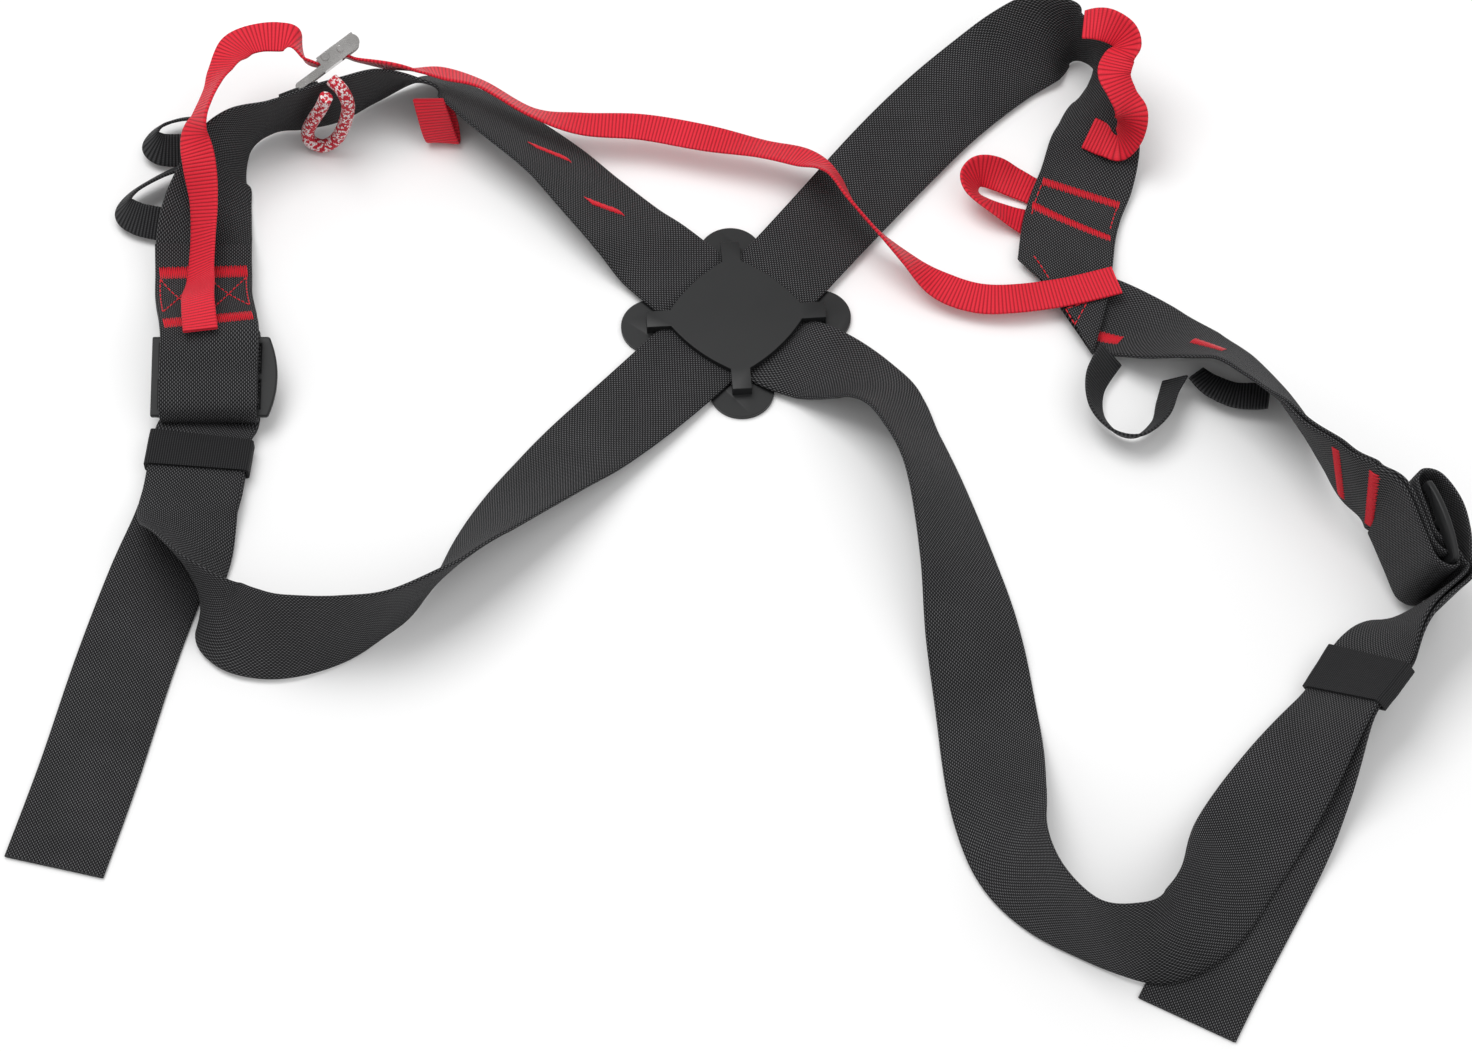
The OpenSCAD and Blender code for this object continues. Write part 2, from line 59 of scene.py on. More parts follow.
# Routes, in millimetres, as the CAD part has them: stations [x, y, z, across, tilt].

BUCKLE_AT = np.array([-210, 107, 45])
BUCKLE_X = unit(np.array([0.797, 0.538, 0.275]))
BUCKLE_Z = unit(np.cross(BUCKLE_X, [-0.103, 0.570, -0.815]))
BUCKLE_Y = np.cross(BUCKLE_Z, BUCKLE_X)
BUCKLE_W = 20

LEFT_GLIDE = np.array([[-242, -26, 23], [0, -0.94, -0.342], [0, 0.342, -0.94]])
RIGHT_GLIDE = np.array([[299, -124, 33.5], [0.268, -0.944, -0.194], [0.931, 0.304, -0.192]])


def buckle_point(x, y, z):
    return BUCKLE_AT + BUCKLE_X * x + BUCKLE_Y * y + BUCKLE_Z * z


def buckle_route(x, z):
    """A station in the buckle: x along it, z off its middle plane."""
    return [*buckle_point(x, BUCKLE_W / 2, z), 100, -54.6]


def left_at(s, m, across=0):
    """A station at the left adjuster: s from its far bar, m away from the patch."""
    return [*(LEFT_GLIDE[0] + LEFT_GLIDE[1] * s + LEFT_GLIDE[2] * m), across, 0]


def right_at(s, m):
    return [*(RIGHT_GLIDE[0] + RIGHT_GLIDE[1] * s + RIGHT_GLIDE[2] * m), 152, -74]


# From the left adjuster over the left shoulder, under the plate, to the right adjuster.
STRAP_A = [
    [-251, 35, 14.8, 3, -9],
    [-250, 21, 12.8, 0, -4],
    [-248, 3, 18, 0, 0],
    left_at(-4, -8.9),
    left_at(18, -8),
    left_at(31, -7.2),
    left_at(35.8, -4.2),
    left_at(37.4, -0.6),
    left_at(36.8, 2.3),
    left_at(34, 3.1),
    left_at(30.9, 2.4),
    left_at(30.5, -0.3),
    left_at(28.2, -3.1),
    left_at(23, -5.2),
    left_at(12, -5.4),
    left_at(-4, -6.2),
    [-248, 2, 15, 0, 0],
    [-250, 20, 10.4, 0, -4],
    [-251, 38, 12.6, 3, -10],
    [-250, 52, 15, 10, -25],
    [-247, 68, 18.5, 20, -42],
    [-244, 81, 21.6, 32, -52],
    [-235, 95.5, 22.9, 55, -62],
    [-222, 104.5, 23, 82, -68],
    [-208, 109, 23, 102, -76],
    [-190, 115, 23, 112, -78],
    [-172, 124, 22, 108, -70],
    [-154, 128, 20.8, 95, -53],
    [-137, 126, 16.5, 80, -42],
    [-112, 107.5, 14.8, 67, -34],
    [-87, 86.5, 13, 60, -30],
    [-69, 67, 11.2, 55, -24],
    [-51, 48.5, 7.8, 51, -15],
    [-38, 36, 4.4, 47, -2],
    [-23, 21.5, 3.8, 45, 0],
    [-16.5, 15.5, 1.8, 45, 0],
    [-8, 7.5, 1.6, 45, 0],
    [0, 0, 1.6, 46, 0],
    [10, -8, 1.6, 47, 0],
    [17.5, -14, 1.8, 48, 0],
    [24.5, -19.5, 3.8, 49, 0],
    [42, -28, 5, 50, -4],
    [59, -40, 10, 50, -24],
    [70, -52, 15, 45, -38],
    [79, -69, 18, 38, -47],
    [90, -97, 19, 27, -48],
    [100, -140, 14, 15, -34],
    [106, -178, 7.6, 8, -12],
    [111, -217, 2.6, 5, 0],
    [114, -262, 13, 10, 28],
    [119, -289, 18, 22, 50],
    [132, -312, 22, 45, 70],
    [150, -327, 23, 65, 81],
    [167, -332, 23.6, 100, 72],
    [184, -329, 21.8, 115, 56],
    [200, -314, 19.4, 135, 42],
    [217, -281, 9, 148, 14],
    [238, -249, 11, 146, -12],
    [260, -219, 19.8, 143, -38],
    [271, -204, 22.2, 143, -38],
    [282, -189, 24.6, 143, -38],
    [296, -175, 28, 148, -62],
    right_at(40, 5.4),
    right_at(35, 5.4),
    right_at(29, 4.0),
    right_at(24.6, 0),
    right_at(19.5, -2.8),
    right_at(10, -3),
    right_at(0, -3.1),
    right_at(-6, -2),
    right_at(-9, 3),
    right_at(-5, 10),
    right_at(8, 14.5),
    right_at(22, 13.5),
    right_at(35, 9.6),
    right_at(42.4, 8.2),
    [298.4, -176, 26.6, 148, -62],
    [283.4, -189.7, 22.6, 143, -38],
    [272.4, -204.7, 20.2, 143, -38],
    [261.4, -219.7, 17.8, 143, -38],
    [246, -250, 7.5, 149, -12],
    [237, -270, 3.6, 150, -5],
    [226, -291, 1.5, 151, 0],
    [203, -333, 1.2, 152, 0],
    [190, -358, 1.2, 150, 0],
]

# From the folded corner over the right shoulder, under the plate, to the left adjuster.
STRAP_B = [
    [144, -18, 7, 166, 0],
    [151, 8, 6.6, 167, 0],
    [155, 28, 5.8, 168, 0],
    [158, 49, 4.4, 169, 0],
    [162, 65, 3.7, 172, 0],
    [168, 81, 4.5, 174, -2],
    [172, 97, 8.5, 172, -14],
    [173, 109, 15, 151, -34],
    [174, 125, 21.4, 122, -48],
    [174, 143, 23.2, 90, -70],
    [168, 153, 23.2, 37, -80],
    [160, 156, 23, -60, -80],
    [150, 156, 20, -72, -54],
    [139, 153, 14.5, -62, -34],
    [126, 146, 9.5, -50, -18],
    [101, 123, 7.5, -45, -12],
    [76, 94, 7, -45, -10],
    [43, 53, 4.6, -45, -2],
    [21, 25, 3.8, -43, 0],
    [0, 0, 3.8, -42, 0],
    [-21, -23, 3.8, -42, 0],
    [-44, -48, 4.6, -42, 4],
    [-67, -72, 6.5, -42, 12],
    [-84, -91, 10.5, -41, 24],
    [-99, -109, 14.5, -45, 35],
    [-114, -129, 18.5, -53, 48],
    [-129, -150, 21.5, -66, 63],
    [-148, -168, 23, -50, 80],
    [-172, -179, 23, 60, 79],
    [-194, -183, 22.5, 95, 68],
    [-211, -181.5, 21.4, 92, 58],
    [-226, -175, 21, 95, 51],
    [-237, -161.5, 22.9, 112, 50],
    [-243, -143.5, 20, 140, 40],
    [-247, -125, 13.5, 165, 20],
    [-248.4, -111, 9, 172, 6],
    [-247.4, -98, 7.6, 175, 0],
    [-246, -82, 7.6, 175, 0],
    [-244.6, -67.5, 7.6, 175, 0],
    left_at(35.5, 5.4, 180),
    left_at(29, 3.8, 180),
    left_at(24.6, 0, 180),
    left_at(19.5, -2.8, 180),
    left_at(10, -3, 180),
    left_at(-1, -3.2, 180),
    left_at(-4.4, -0.2, 180),
    left_at(-1.2, 3.5, 180),
    left_at(12, 5.6, 180),
    left_at(24, 7, 180),
    left_at(35, 7.8, 180),
    [-244.6, -66, 5, 175, 0],
    [-246, -82, 5, 175, 0],
    [-247.4, -98, 5, 175, 0],
    [-252, -114, 2.4, 173, 0],
    [-261, -142, 1.2, 171, 0],
    [-272, -187, 1.2, 170, 0],
    [-283, -240, 1.2, 170, 0],
    [-294, -286, 1.2, 170, 0],
]

# From the folded corner along the right chest to the right adjuster, sewn round its near bar.
STRAP_C = [
    [142, 20, 1.3, 50, 0],
    [160, 9, 1.6, 48, 0],
    [180, -1, 2.4, 46, -1],
    [198, -13, 8.8, 48, -17],
    [215, -22, 14, 50, -33],
    [230, -31, 17, 48, -46],
    [243, -46, 18.8, 45, -52],
    [254.5, -65, 22.6, 42, -60],
    [263.3, -85.3, 27.9, 42, -72],
    [274.4, -102.5, 31.3, 50, -84],
    [285, -116.9, 34.8, 142, -78],
    right_at(-3, -7.4),
    right_at(12, -5.6),
    right_at(23, -5.2),
    right_at(28.2, -3.1),
    right_at(30.5, -0.3),
    right_at(30.9, 2.4),
    right_at(34, 3.1),
    right_at(36.8, 2.3),
    right_at(37.4, -0.6),
    right_at(35.8, -4.2),
    right_at(31, -7.4),
    right_at(18, -8.3),
    right_at(-2, -10.1),
    [282.4, -117.7, 35.2, 142, -78],
    [272.3, -104.2, 31.7, 50, -84],
    [261.3, -87.1, 28.5, 42, -72],
    [255.8, -74.5, 25.3, 42, -66],
]

# Red chest strap from its loose end through the buckle to its sewn end.
CHEST = [
    [-245, -30, 38, 182, 0],
    [-248, -10, 35, 180, -15],
    [-250, 12, 21, 180, -32],
    [-250, 34, 23, 180, -38],
    [-250, 49.5, 31, 180, -32],
    [-252, 63.5, 41, 180, -6],
    [-254.3, 75, 46, 165, -25],
    [-252.3, 83, 51, 130, -38],
    [-249.6, 91, 53, 122, -42],
    [-246.6, 99.3, 54, 118, -38],
    [-243.8, 108, 54, 110, -22],
    [-240, 118, 53.5, 97, -8],
    [-235, 126, 52, 94, 2],
    [-227, 130, 51.2, 98, 6],
    [-218, 131, 50.6, 92, 9],
    [-210.5, 129.5, 50, 90, -8],
    buckle_route(12, 6.3),
    buckle_route(17, -0.8),
    buckle_route(23, -1.8),
    buckle_route(28, -3.4),
    buckle_route(32, -8.8),
    [-165, 121.5, 40.5, 95, -62],
    [-154, 122.5, 36, 95, -50],
    [-140, 123.6, 32, 88, -33],
    [-122, 121, 27, 78, -43],
    [-98, 110, 19.5, 78, -41],
    [-74, 105, 17, 88, -12],
    [-45, 103, 17, 90, -3],
    [-15, 96.5, 17, 88, -2],
    [12, 90, 17, 80, -22],
    [32, 83, 19, 65, -20],
    [45, 72, 22, 60, -50],
    [54, 55, 23, 70, -60],
    [66, 40, 20, 75, -58],
    [80, 28, 14, 80, -35],
    [95, 16, 9.5, 88, 0],
    [112, 9, 8.4, 90, 6],
    [130, 8, 9, 90, 2],
    [155, 12, 8.9, 95, 0],
    [179, 19, 8.6, 100, 0],
]

BLACK_LOOPS = {
    "left_gear_loop_upper": [
        [-256, 112, 12, 100, -50],
        [-267, 111.5, 12, 100, -50],
        [-277, 107, 12, 140, -54],
        [-281, 100, 11.5, 190, -54],
        [-276, 95, 10, 250, -50],
        [-264, 95, 9, 275, -44],
    ],
    "left_gear_loop_lower": [
        [-262, 84, 12, 105, -44],
        [-275, 77, 12, 110, -50],
        [-287, 68, 11.5, 130, -54],
        [-291, 60, 10.5, 190, -54],
        [-284, 54, 9.5, 260, -46],
        [-268, 51, 8, 275, -36],
    ],
    "right_gear_loop_first": [
        [174, -24, 9.5, 0, -40],
        [166, -40, 10, -10, -55],
        [166, -56, 10, 10, -60],
        [174, -67, 9.5, 60, -60],
        [185, -69, 9.5, 100, -60],
        [195, -60, 10, 140, -60],
        [199, -48, 10, 165, -55],
        [203, -38, 10, 150, -45],
    ],
    "right_gear_loop_second": [
        [213, -34, 9, 60, -30],
        [220, -40, 7.5, 72, -16],
        [230, -44.5, 6.5, 86, -10],
        [239, -46, 7.5, 92, -8],
        [246, -47, 9.5, 88, -10],
    ],
}

RED_LOOPS = {
    "left_red_loop": [
        [-147, 108.8, 31, -16, 0],
        [-145, 106, 22, -6, 0],
        [-143, 104, 11, 0, 0],
        [-141.5, 104, 4.5, -4, 0],
        [-141, 107, 2.8, -8, 0],
        [-141.5, 111, 8, -10, 0],
        [-142.5, 113, 14, -12, 0],
        [-144.5, 114, 20.5, -14, 0],
    ],
    "right_red_loop": [
        [152, 73, 1.3, 95, 0],
        [143, 76, 1.4, 95, 0],
        [134, 79.5, 3.6, 97, 16],
        [124, 82, 8.2, 105, 42],
        [116, 81.5, 10.5, 145, 55],
        [111.5, 76, 10.5, 180, 56],
        [113, 69, 9.8, 215, 52],
        [121, 63, 8.2, 255, 38],
        [131, 59.5, 4, 270, 16],
        [140, 57, 1.5, 275, 0],
        [149, 55, 1.3, 275, 0],
    ],
    "right_shoulder_loop": [
        [166, 139.3, 49.7, 70, 10],
        [172, 138.3, 51.7, 66, 25],
        [178, 136.3, 52.3, 52, 40],
        [184.6, 132, 51, 15, 46],
        [186, 125.5, 49.3, -10, 34],
        [182, 120, 48.2, -24, 12],
        [179.5, 111.5, 47, -12, -8],
        [183, 103.5, 43, 4, -26],
        [187.5, 97, 36, -14, -32],
        [188, 94.5, 25, -50, -24],
        [184, 94, 15.2, -70, -12],
        [177, 97.4, 14, -67, -14],
        [169.5, 102.4, 13.2, -65, -15],
    ],
}

# Over the strap's edge, down, round on the floor and back up.
PULL_CORD = [
    [-191, 104, 52], [-186.5, 100, 50], [-184, 98.5, 42], [-185, 99, 32], [-188, 99.5, 21], [-192.5, 100, 11],
    [-199, 100.5, 5.5], [-205, 102, 7.5], [-205.5, 102, 15], [-202, 101, 25], [-197.5, 100, 35],
    [-194, 100, 44],
]


def smooth(a, b, c, d, t):
    return 0.5 * (2 * b + (c - a) * t + (2 * a - 5 * b + 4 * c - d) * t**2 + (3 * b - a - 3 * c + d) * t**3)


class Route:
    """A smooth curve through stations, with the turn of the strap that follows it."""

    SAMPLES = 20

    def __init__(self, stations):
        self.stations = np.array(stations, float)
        self.last = len(stations) - 1
        self.grid = np.linspace(0, self.last, self.last * self.SAMPLES + 1)
        places = np.array([self.along(q)[:3] for q in self.grid])
        steps = np.linalg.norm(np.diff(places, axis=0), axis=1)
        self.lengths = np.concatenate([[0], np.cumsum(steps)])

    def along(self, q):
        i = int(max(0, min(self.last - 1, math.floor(q))))
        ends = [self.stations[max(0, min(self.last, i + k))] for k in (-1, 0, 1, 2)]
        return smooth(*ends, q - i)

    def length(self, q):
        """Distance along the curve to station q."""
        return float(np.interp(q, self.grid, self.lengths))

    def moved(self, q, distance):
        """The station that lies a distance further along the curve than q."""
        return float(np.interp(self.length(q) + distance, self.lengths, self.grid))

    def section(self, q):
        """Centre, sideways direction and face direction at q."""
        tangent = unit(self.along(min(self.last, q + 0.02))[:3] - self.along(max(0, q - 0.02))[:3])
        station = self.along(q)
        across, tilt = math.radians(station[3]), math.radians(station[4])
        level = math.cos(tilt)
        edge = np.array([math.cos(across) * level, math.sin(across) * level, math.sin(tilt)])
        side = unit(edge - edge.dot(tangent) * tangent)
        return station[:3], side, np.cross(tangent, side)

    def spot(self, q, v, h):
        """The point v sideways and h off the face at q."""
        centre, side, face = self.section(q)
        return centre + side * v + face * h


def add_object(name, points, faces, material, uvs=None, sharp=50):
    """A mesh object from points in millimetres. uvs gives one pair for each corner of each face."""
    mesh = bpy.data.meshes.new(name)
    mesh.from_pydata([tuple(p) for p in np.asarray(points) * MM], [], faces)
    if uvs is not None:
        layer = mesh.uv_layers.new(name="Weave")
        layer.data.foreach_set("uv", np.asarray(uvs, dtype=np.float32).ravel())
    mesh.validate()
    work = bmesh.new()
    work.from_mesh(mesh)
    bmesh.ops.recalc_face_normals(work, faces=work.faces)
    work.to_mesh(mesh)
    work.free()
    mesh.shade_smooth()
    mesh.set_sharp_from_angle(angle=math.radians(sharp))
    mesh.materials.append(material)
    piece = bpy.data.objects.new(name, mesh)
    bpy.context.scene.collection.objects.link(piece)
    return piece


def loft(rings, closed=False):
    """Faces between equal rings of points, with both ends capped unless it is closed on itself."""
    count, size = len(rings), len(rings[0])
    faces = []
    for i in range(count if closed else count - 1):
        a, b = i * size, (i + 1) % count * size
        for k in range(size):
            n = (k + 1) % size
            faces.append((a + k, a + n, b + n, b + k))
    if not closed:
        faces.append(tuple(range(size)))
        faces.append(tuple(reversed(range((count - 1) * size, count * size))))
    return faces


def strip_profile(half, thickness, columns=10):
    """Outline of a strap's cross-section, with round selvedges that stand a little proud."""
    r = thickness / 2
    flat = np.linspace(-half + r, half - r, columns + 1)
    bead = [0.06 if k in (1, columns - 1) else 0.0 for k in range(columns + 1)]
    top = [(v, r + e) for v, e in zip(flat, bead)]
    turn = [math.radians(a) for a in (45, 0, -45)]
    right = [(half - r + r * math.cos(a), r * math.sin(a)) for a in turn]
    bottom = [(v, -h) for v, h in reversed(top)]
    left = [(-v, -h) for v, h in right]
    return top + right + bottom + left


def strip(name, route, q0, q1, width, thickness, material, skew0=0.0, skew1=0.0, v_mid=0.0, h_mid=0.0):
    """A strap or tape along a route. skew0 and skew1 move the left edge of its two ends along the route."""
    profile = strip_profile(width / 2, thickness)
    girth = [0.0]
    for k in range(len(profile)):
        girth.append(girth[-1] + math.dist(profile[k], profile[(k + 1) % len(profile)]))
    count = max(2, math.ceil((q1 - q0) * RINGS_PER_STATION))
    stations = np.linspace(q0, q1, count + 1)
    skews = np.linspace(skew0, skew1, count + 1)
    rings = []
    travel = []
    for q, skew in zip(stations, skews):
        ring = []
        for v, h in profile:
            at = q + skew * (v / width + 0.5)
            ring.append(route.spot(at, v_mid + v, h_mid + h))
        rings.append(ring)
        travel.append([route.length(q + skew * (v / width + 0.5)) for v, h in profile])
    faces = loft(rings)
    size = len(profile)
    uvs = []
    for i in range(count):
        for k in range(size):
            n = (k + 1) % size
            uvs += [(girth[k], travel[i][k]), (girth[k + 1], travel[i][n]),
                    (girth[k + 1], travel[i + 1][n]), (girth[k], travel[i + 1][k])]
    for end in (range(size), reversed(range(size))):
        uvs += [(profile[k][0], profile[k][1]) for k in end]
    return add_object(name, np.concatenate(rings), faces, material, uvs)


def thread_rings(points, radius, sides=6):
    """Rings of a short thread that is thin at both ends."""
    rings = []
    for i, p in enumerate(points):
        heading = unit(points[min(len(points) - 1, i + 1)] - points[max(0, i - 1)])
        flat = unit(np.cross(heading, [0.31, -0.52, 0.8]))
        other = np.cross(heading, flat)
        r = radius * (0.55 + 0.45 * math.sin(math.pi * i / (len(points) - 1)))
        turns = [2 * math.pi * k / sides for k in range(sides)]
        rings.append([p + (flat * math.cos(a) + other * math.sin(a)) * r for a in turns])
    return rings


class Stitching:
    """Threads that are gathered into one piece."""

    def __init__(self):
        self.points = []
        self.faces = []

    def add(self, rings):
        start = len(self.points)
        self.points += [p for ring in rings for p in ring]
        self.faces += [tuple(start + k for k in face) for face in loft(rings)]

    def thread(self, route, side, a, b, lift=0.35, radius=0.42, surface=STRAP_T / 2):
        """One stitch between two places (q, v) of a strap's face; side is 1 or -1."""
        points = []
        for t in np.linspace(0, 1, 5):
            q = a[0] + (b[0] - a[0]) * t
            v = a[1] + (b[1] - a[1]) * t
            points.append(route.spot(q, v, side * (surface + lift * math.sin(math.pi * t))))
        self.add(thread_rings(points, radius))

    def bar(self, route, side, start, end, height, pitch=0.85):
        """A bar tack from (q, v) start to end: close stitches that each run along the strap."""
        count = round(abs(end[1] - start[1]) / pitch)
        for k in range(count):
            t = (k + 0.5) / count
            q = start[0] + (end[0] - start[0]) * t
            v = start[1] + (end[1] - start[1]) * t
            wobble = 0.35 * math.sin(2.4 * k)
            a = route.moved(q, -height / 2 + wobble)
            b = route.moved(q, height / 2 + wobble * 0.6)
            self.thread(route, side, (a, v - 0.3), (b, v + 0.3))

    def upright_bar(self, route, side, v, s0, s1, q, width, pitch=0.95):
        """A bar tack along the strap: close stitches that each run across it."""
        count = round(abs(s1 - s0) / pitch)
        for k in range(count):
            at = route.moved(q, s0 + (s1 - s0) * (k + 0.5) / count)
            wobble = 0.3 * math.sin(2.1 * k)
            self.thread(route, side, (at, v - width / 2 + wobble), (at, v + width / 2 + wobble))

    def run(self, route, side, a, b, stitch=2.4, gap=0.9):
        """A row of separate stitches from (q, v) a to b."""
        span = math.hypot(route.length(b[0]) - route.length(a[0]), b[1] - a[1])
        count = max(1, round(span / (stitch + gap)))
        share = stitch / (stitch + gap)
        for k in range(count):
            ends = []
            for t in (k / count, (k + share) / count):
                s = route.length(a[0]) + (route.length(b[0]) - route.length(a[0])) * t
                ends.append((float(np.interp(s, route.lengths, route.grid)), a[1] + (b[1] - a[1]) * t))
            self.thread(route, side, *ends, lift=0.25, radius=0.36)

    def piece(self, name, material):
        return add_object(name, self.points, self.faces, material, sharp=80)


# Materials.


class Graph:
    """A Principled material whose node graph is built by short calls."""

    def __init__(self, name, **settings):
        self.material = bpy.data.materials.new(name)
        self.material.use_nodes = True
        self.tree = self.material.node_tree
        self.shader = self.tree.nodes["Principled BSDF"]
        for socket, value in settings.items():
            self.shader.inputs[socket.replace("_", " ")].default_value = value

    def node(self, kind, inputs=(), **settings):
        node = self.tree.nodes.new(kind)
        for key, value in settings.items():
            setattr(node, key, value)
        for socket, value in inputs:
            self.put(node.inputs[socket], value)
        return node

    def put(self, socket, value):
        if isinstance(value, bpy.types.NodeSocket):
            self.tree.links.new(value, socket)
        else:
            socket.default_value = value

    def math(self, operation, a, b=0.0):
        return self.node("ShaderNodeMath", [(0, a), (1, b)], operation=operation).outputs[0]

    def uv(self):
        """Distances across and along the strap, in millimetres."""
        pin = self.node("ShaderNodeUVMap", uv_map="Weave")
        parts = self.node("ShaderNodeSeparateXYZ", [(0, pin.outputs["UV"])])
        return parts.outputs["X"], parts.outputs["Y"]

    def place(self):
        return self.node("ShaderNodeTexCoord").outputs["Object"]

    def noise(self, scale, detail=3.0, roughness=0.55):
        inputs = [("Vector", self.place()), ("Scale", scale), ("Detail", detail), ("Roughness", roughness)]
        return self.node("ShaderNodeTexNoise", inputs).outputs["Fac"]

    def ridge(self, value, period, offset=0.0):
        """Rounded ridges from 0 to 1, one in each period of a value."""
        phase = self.math("ADD", self.math("DIVIDE", value, period), offset)
        return self.math("ABSOLUTE", self.math("SINE", self.math("MULTIPLY", phase, math.pi)))

    def spread(self, value, low, high):
        """Stretches a value from 0..1 to low..high."""
        inputs = [("Value", value), ("To Min", low), ("To Max", high)]
        return self.node("ShaderNodeMapRange", inputs).outputs["Result"]

    def blend(self, factor, a, b):
        mix = self.node("ShaderNodeMix", data_type="RGBA")
        self.put(mix.inputs[0], factor)
        self.put(mix.inputs[6], a)
        self.put(mix.inputs[7], b)
        return mix.outputs[2]

    def bump(self, height, distance, strength=1.0, under=None):
        inputs = [("Height", height), ("Distance", distance), ("Strength", strength)]
        if under is not None:
            inputs.append(("Normal", under))
        return self.node("ShaderNodeBump", inputs).outputs["Normal"]

    def finish(self, colour, roughness, normal):
        self.put(self.shader.inputs["Base Color"], colour)
        self.put(self.shader.inputs["Roughness"], roughness)
        self.put(self.shader.inputs["Normal"], normal)
        return self.material


def weave(graph, across, along):
    """Height of a plain weave whose raised floats are staggered from one warp row to the next."""
    u, v = graph.uv()
    row = graph.math("FLOOR", graph.math("DIVIDE", u, across))
    warp = graph.ridge(u, across)
    weft = graph.ridge(v, along, graph.math("MULTIPLY", row, 0.5))
    return graph.math("POWER", graph.math("MULTIPLY", warp, weft), 0.7)


def webbing_material():
    graph = Graph("black_webbing", Specular_IOR_Level=0.16)
    height = weave(graph, 0.85, 1.7)
    wear = graph.noise(38.0)
    fuzz = graph.noise(2600.0, 2.0)
    # Painted light: the pits of the weave get a painted shade, darker than the black webbing, and its raised
    # floats a painted highlight, far lighter. The random wear tone varies both.
    hollow_shade = graph.blend(wear, (0.0035, 0.0035, 0.004, 1), (0.007, 0.007, 0.0078, 1))
    light = graph.blend(wear, (0.17, 0.17, 0.176, 1), (0.3, 0.3, 0.31, 1))
    raised = graph.math("MULTIPLY", graph.math("POWER", height, 3.5), graph.spread(fuzz, 0.3, 1.0))
    colour = graph.blend(raised, hollow_shade, light)
    normal = graph.bump(height, 0.0004, 0.9, graph.bump(fuzz, 0.00008, 0.5))
    return graph.finish(colour, graph.spread(wear, 0.6, 0.78), normal)


def black_tape_material(name, rib, rib_highlight):
    graph = Graph(name, Specular_IOR_Level=0.18)
    u, v = graph.uv()
    ribs = graph.ridge(v, rib)
    warp = graph.ridge(u, 0.9)
    height = graph.math("MULTIPLY", ribs, graph.spread(warp, 0.6, 1.0))
    wear = graph.noise(60.0)
    # Painted shade in the grooves between the ribs, and a painted highlight on the rib crests. The crest
    # colour is the last argument.
    hollow_shade = graph.blend(wear, (0.004, 0.004, 0.0045, 1), (0.008, 0.008, 0.009, 1))
    colour = graph.blend(graph.math("POWER", height, 2.0), hollow_shade, (rib_highlight, rib_highlight, rib_highlight * 1.05, 1))
    normal = graph.bump(height, 0.0004, 0.9)
    return graph.finish(colour, graph.spread(wear, 0.6, 0.8), normal)


def red_tape_material():
    graph = Graph("red_tape", Sheen_Weight=0.05, Sheen_Roughness=0.4, Specular_IOR_Level=0.22)
    u, v = graph.uv()
    ribs = graph.ridge(v, 1.7)
    warp = graph.ridge(u, 0.8)
    height = graph.math("MULTIPLY", graph.math("POWER", ribs, 0.6), graph.spread(warp, 0.8, 1.0))
    tone = graph.noise(30.0)
    # Painted shade in the grooves and a painted highlight on the rib crests, both varied by the random tone.
    groove_shade = graph.blend(tone, (0.2, 0.003, 0.007, 1), (0.3, 0.004, 0.012, 1))
    crest_highlight = graph.blend(tone, (0.7, 0.011, 0.027, 1), (0.86, 0.022, 0.05, 1))
    colour = graph.blend(height, groove_shade, crest_highlight)
    normal = graph.bump(height, 0.0005, 0.7)
    return graph.finish(colour, graph.spread(tone, 0.42, 0.6), normal)


def thread_material():
    graph = Graph("red_thread", Sheen_Weight=0.05, Sheen_Roughness=0.35, Specular_IOR_Level=0.3)
    twist = graph.noise(1800.0, 2.0)
    tone = graph.noise(90.0)
    colour = graph.blend(twist, (0.45, 0.005, 0.014, 1), (0.8, 0.016, 0.036, 1))
    return graph.finish(colour, graph.spread(tone, 0.35, 0.55), graph.bump(twist, 0.0001, 0.7))


def cord_material():
    """A braid: two families of strands that cross, in red with white flecks."""
    graph = Graph("cord", Sheen_Weight=0.05, Sheen_Roughness=0.5, Specular_IOR_Level=0.25)
    u, v = graph.uv()
    left = graph.math("ADD", u, graph.math("MULTIPLY", v, 0.5))
    right = graph.math("SUBTRACT", u, graph.math("MULTIPLY", v, 0.5))
    height = graph.math("MAXIMUM", graph.ridge(left, 1.3), graph.ridge(right, 1.3, 0.5))
    fleck = graph.node("ShaderNodeTexVoronoi", [("Vector", graph.place()), ("Scale", 900.0)])
    white = graph.math("GREATER_THAN", fleck.outputs["Color"], 0.55)
    # Painted shade in the grooves between the strands and a painted highlight on their crests. The white
    # flecks are the braid's own white strands, but they show only on the crests, so their fading into the
    # grooves is painted shade too.
    strands = graph.blend(height, (0.2, 0.004, 0.01, 1), (0.6, 0.014, 0.034, 1))
    colour = graph.blend(graph.math("MULTIPLY", white, height), strands, (0.86, 0.78, 0.78, 1))
    return graph.finish(colour, graph.spread(height, 0.75, 0.55), graph.bump(height, 0.0005, 0.8))


def plastic_material():
    graph = Graph("black_plastic", Specular_IOR_Level=0.32)
    grain = graph.noise(1400.0, 3.0)
    cloud = graph.noise(22.0)
    colour = graph.blend(cloud, (0.008, 0.0085, 0.009, 1), (0.014, 0.0145, 0.015, 1))
    return graph.finish(colour, graph.spread(cloud, 0.34, 0.46), graph.bump(grain, 0.00005, 0.35))


